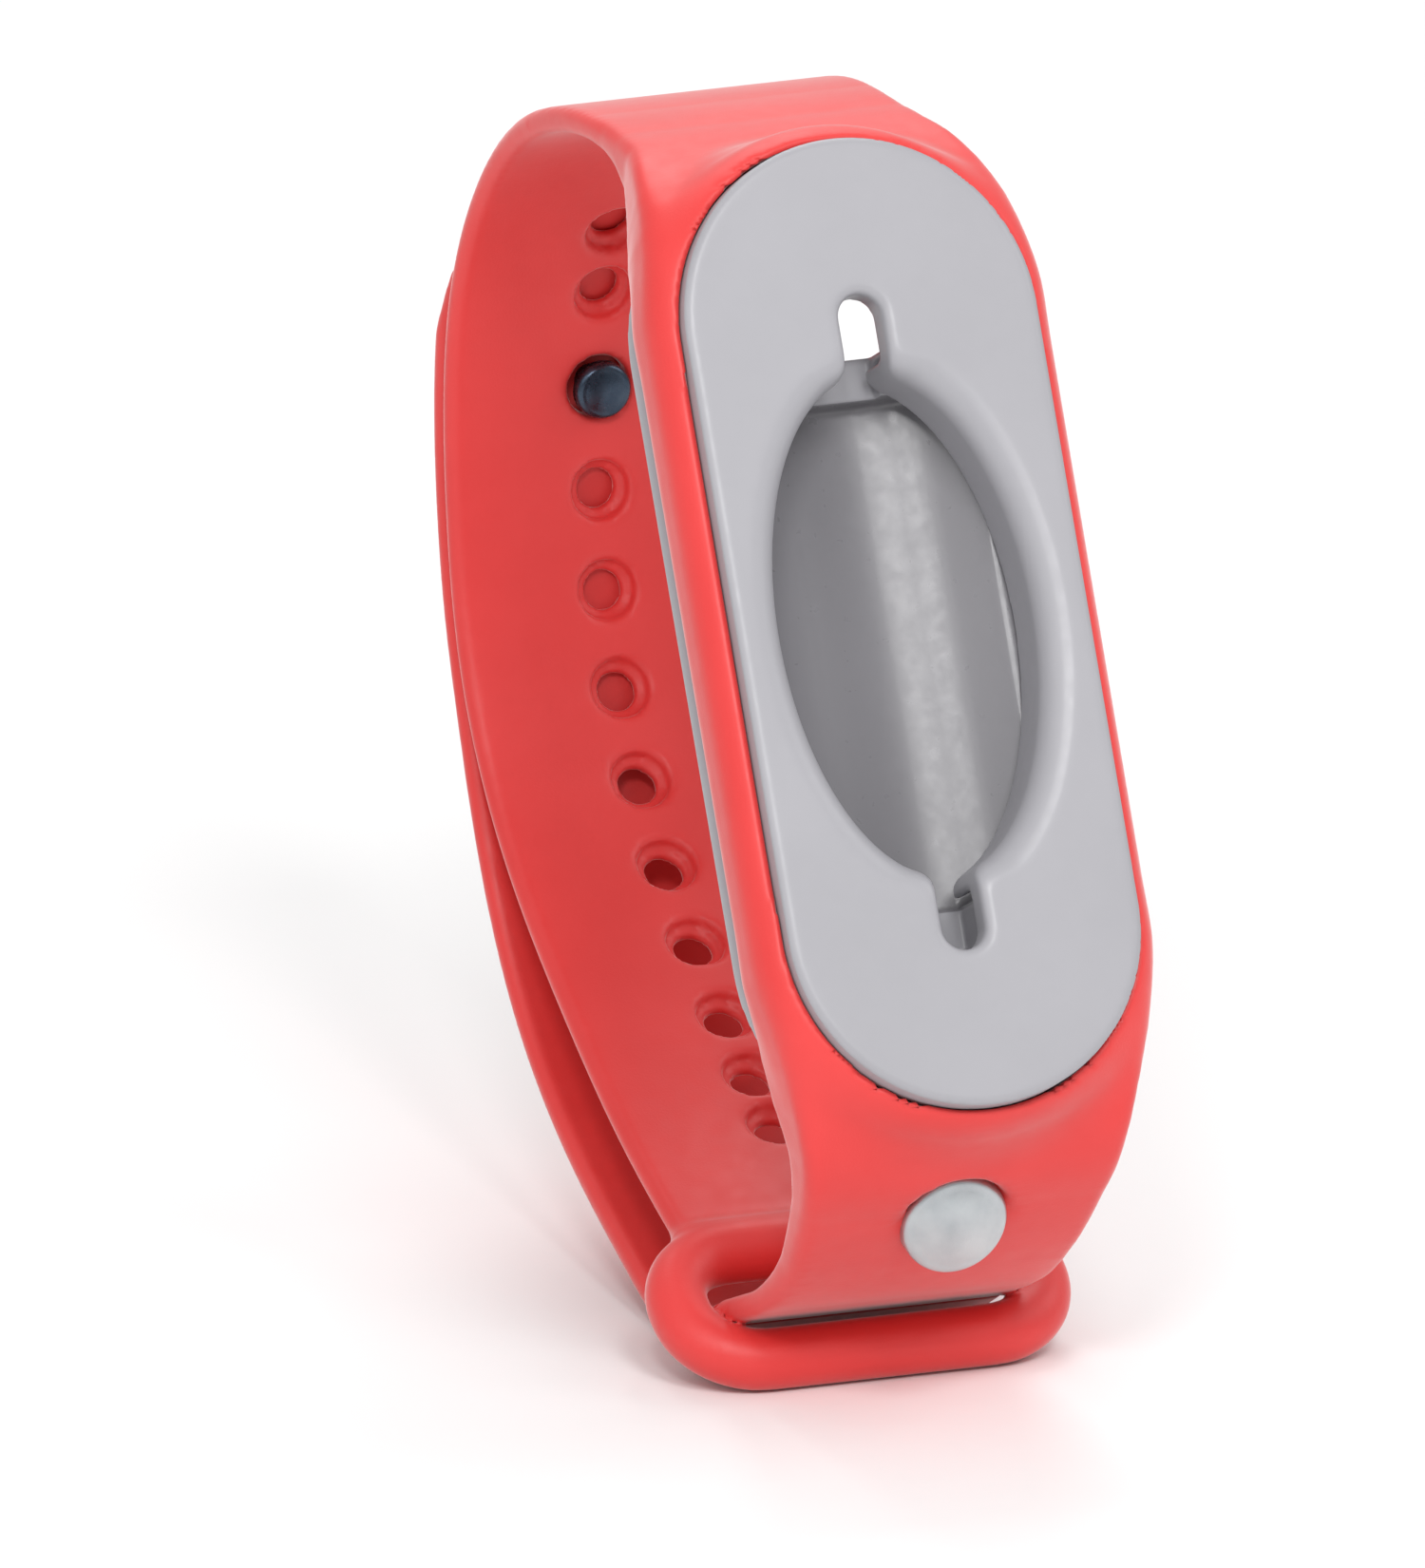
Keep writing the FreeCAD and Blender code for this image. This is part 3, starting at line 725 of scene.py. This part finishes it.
def main():
    silicone = silicone_material()
    plastic = plastic_material("grey_satin_plastic", (0.325, 0.320, 0.342, 1), 0.36, 0.44)
    # the same grey plastic made darker for the tray's hollow: painted shade
    inside = plastic_material("grey_plastic_painted_shade", (0.175, 0.170, 0.183, 1), 0.27, 0.34)
    satin = satin_metal_material()
    dark = dark_metal_material()
    upper = Line(UPPER_LINE)
    lower = lower_line(upper)
    band_piece(upper, lower, silicone)
    tail_piece(lower, silicone)
    plate_piece(plastic)
    tray_piece(plastic, inside)

    place, _, _ = lower.at(*DISC_PLACE)
    base = DISC_SURFACE - DISC_SUNK
    disc = [(SHANK_RADIUS, SHANK_END), (SHANK_RADIUS, base)]
    disc += domed(DISC_RADIUS, base, edge=DISC_SURFACE + 0.2, crown=0.45, rounding=0.5)
    turned("metal_disc", disc, place, DISC_FACING, satin, "band", "strap_disc")

    place, normal, _ = upper.at(*HOLE_LINE[STUD_HOLE])
    head = [(SHAFT_RADIUS, SHAFT_END), (SHAFT_RADIUS, HEAD_BASE)]
    head += domed(HEAD_RADIUS, HEAD_BASE, edge=1.15, crown=0.18, rounding=0.35)
    turned("stud_head", head, place, tuple(-normal), dark, "tail", "snap_stud")
    face = STRAP_THICK * 1.5 + LAYER_GAP - 0.15
    cap = domed(CAP_RADIUS, face, edge=face + 0.35, crown=0.15, rounding=0.3)
    turned("stud_outer_cap", cap, place, tuple(normal), satin, "tail", "stud_cap")

    for node, material in (
        ("insert_rear_cover", plastic),
        ("magnet_strip", magnet_material()),
    ):
        piece = frame["nodes"][node]
        piece.data.materials.clear()
        piece.data.materials.append(material)


main()

# ---- floor, light and camera ----

scene = bpy.context.scene
scene.view_settings.view_transform = "Standard"

bpy.ops.mesh.primitive_plane_add(size=4.0, location=(0, 0, 0))
floor = bpy.context.object
floor.name = "floor"
floor.data.materials.append(floor_material())

world = bpy.data.worlds.new("studio")
world.use_nodes = True
world.node_tree.nodes["Background"].inputs["Color"].default_value = (1.0, 1.0, 1.0, 1.0)
world.node_tree.nodes["Background"].inputs["Strength"].default_value = 0.55
scene.world = world

LIGHTS_AIM = Vector((0, 0, 0.03))


def direction(azimuth, elevation):
    """Unit vector from the object towards a place, azimuth 0 being in front of it."""
    a, e = math.radians(azimuth), math.radians(elevation)
    return Vector((math.sin(a) * math.cos(e), -math.cos(a) * math.cos(e), math.sin(e)))


def area_light(name, azimuth, elevation, distance, size, watts):
    """A round lamp that faces the object; degrees, metres and watts."""
    data = bpy.data.lights.new(name, "AREA")
    data.shape = "DISK"
    data.size = size
    data.energy = watts
    light = bpy.data.objects.new(name, data)
    away = direction(azimuth, elevation)
    light.location = LIGHTS_AIM + away * distance
    light.rotation_mode = "QUATERNION"
    light.rotation_quaternion = (-away).to_track_quat("-Z", "Y")
    scene.collection.objects.link(light)


area_light("key", -3.0, 42.0, 0.5, 0.15, 1.0)
area_light("right_fill", 75.0, 35.0, 0.5, 0.3, 0.45)
area_light("tray_glint", -26.0, 38.0, 0.5, 0.09, 0.6)
area_light("band_fill", -60.0, 30.0, 0.5, 0.3, 0.35)
area_light("top", 165.0, 50.0, 0.5, 0.35, 1.0)

VIEW_AZIMUTH = -20.8
VIEW_ELEVATION = 17.1
FRAME_HEIGHT = 0.07516     # what the picture's long side spans
AIM_RIGHT, AIM_UP = -0.00967, -0.00784   # from the tray's middle to the picture's middle

camera_data = bpy.data.cameras.new("camera")
camera_data.type = "ORTHO"
camera_data.ortho_scale = FRAME_HEIGHT
camera = bpy.data.objects.new("camera", camera_data)
toward = direction(VIEW_AZIMUTH, VIEW_ELEVATION)
camera.rotation_mode = "QUATERNION"
camera.rotation_quaternion = (-toward).to_track_quat("-Z", "Y")
right = camera.rotation_quaternion @ Vector((1, 0, 0))
up = camera.rotation_quaternion @ Vector((0, 1, 0))
camera.location = Vector(ORIGIN) + right * AIM_RIGHT + up * AIM_UP + toward * 0.5
camera_data.clip_start = 0.01
camera_data.clip_end = 10.0
scene.collection.objects.link(camera)
scene.camera = camera
